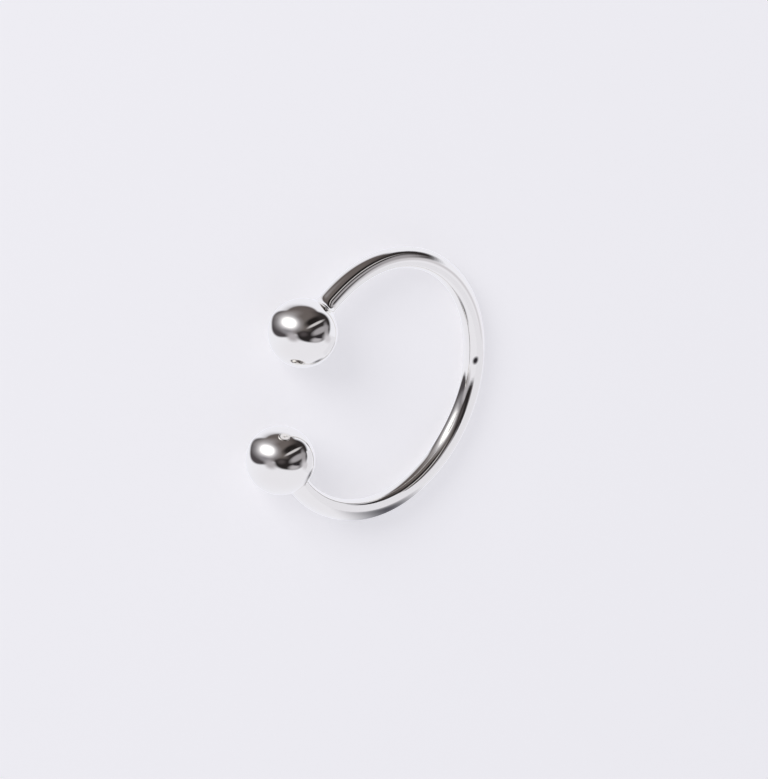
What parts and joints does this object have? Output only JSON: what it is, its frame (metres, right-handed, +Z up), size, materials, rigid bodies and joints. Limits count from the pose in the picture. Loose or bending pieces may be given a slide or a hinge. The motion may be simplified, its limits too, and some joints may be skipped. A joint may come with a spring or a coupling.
{
  "type": "bubble ring",
  "caption": "Open finger ring of round polished silver wire, with a solid ball soldered to each free end and a gap between the balls.",
  "frame": {"origin": "on the surface that the ring lies on, below the middle of its box", "axes": "+Z up; the mouth between the balls faces -Y and the back of the band +Y; +X along the line between the balls. The ring lies on its side, on the two balls and the back of the wire, so its own axis leans 5.3 degrees from +Z towards +Y."},
  "size_m": [0.0208, 0.0216, 0.005],
  "materials": {
    "polished_silver": "mirror-polished sterling silver with the faintest wavy polishing"
  },
  "bodies": {
    "root": {"ring": "polished_silver"}
  },
  "joints": []
}
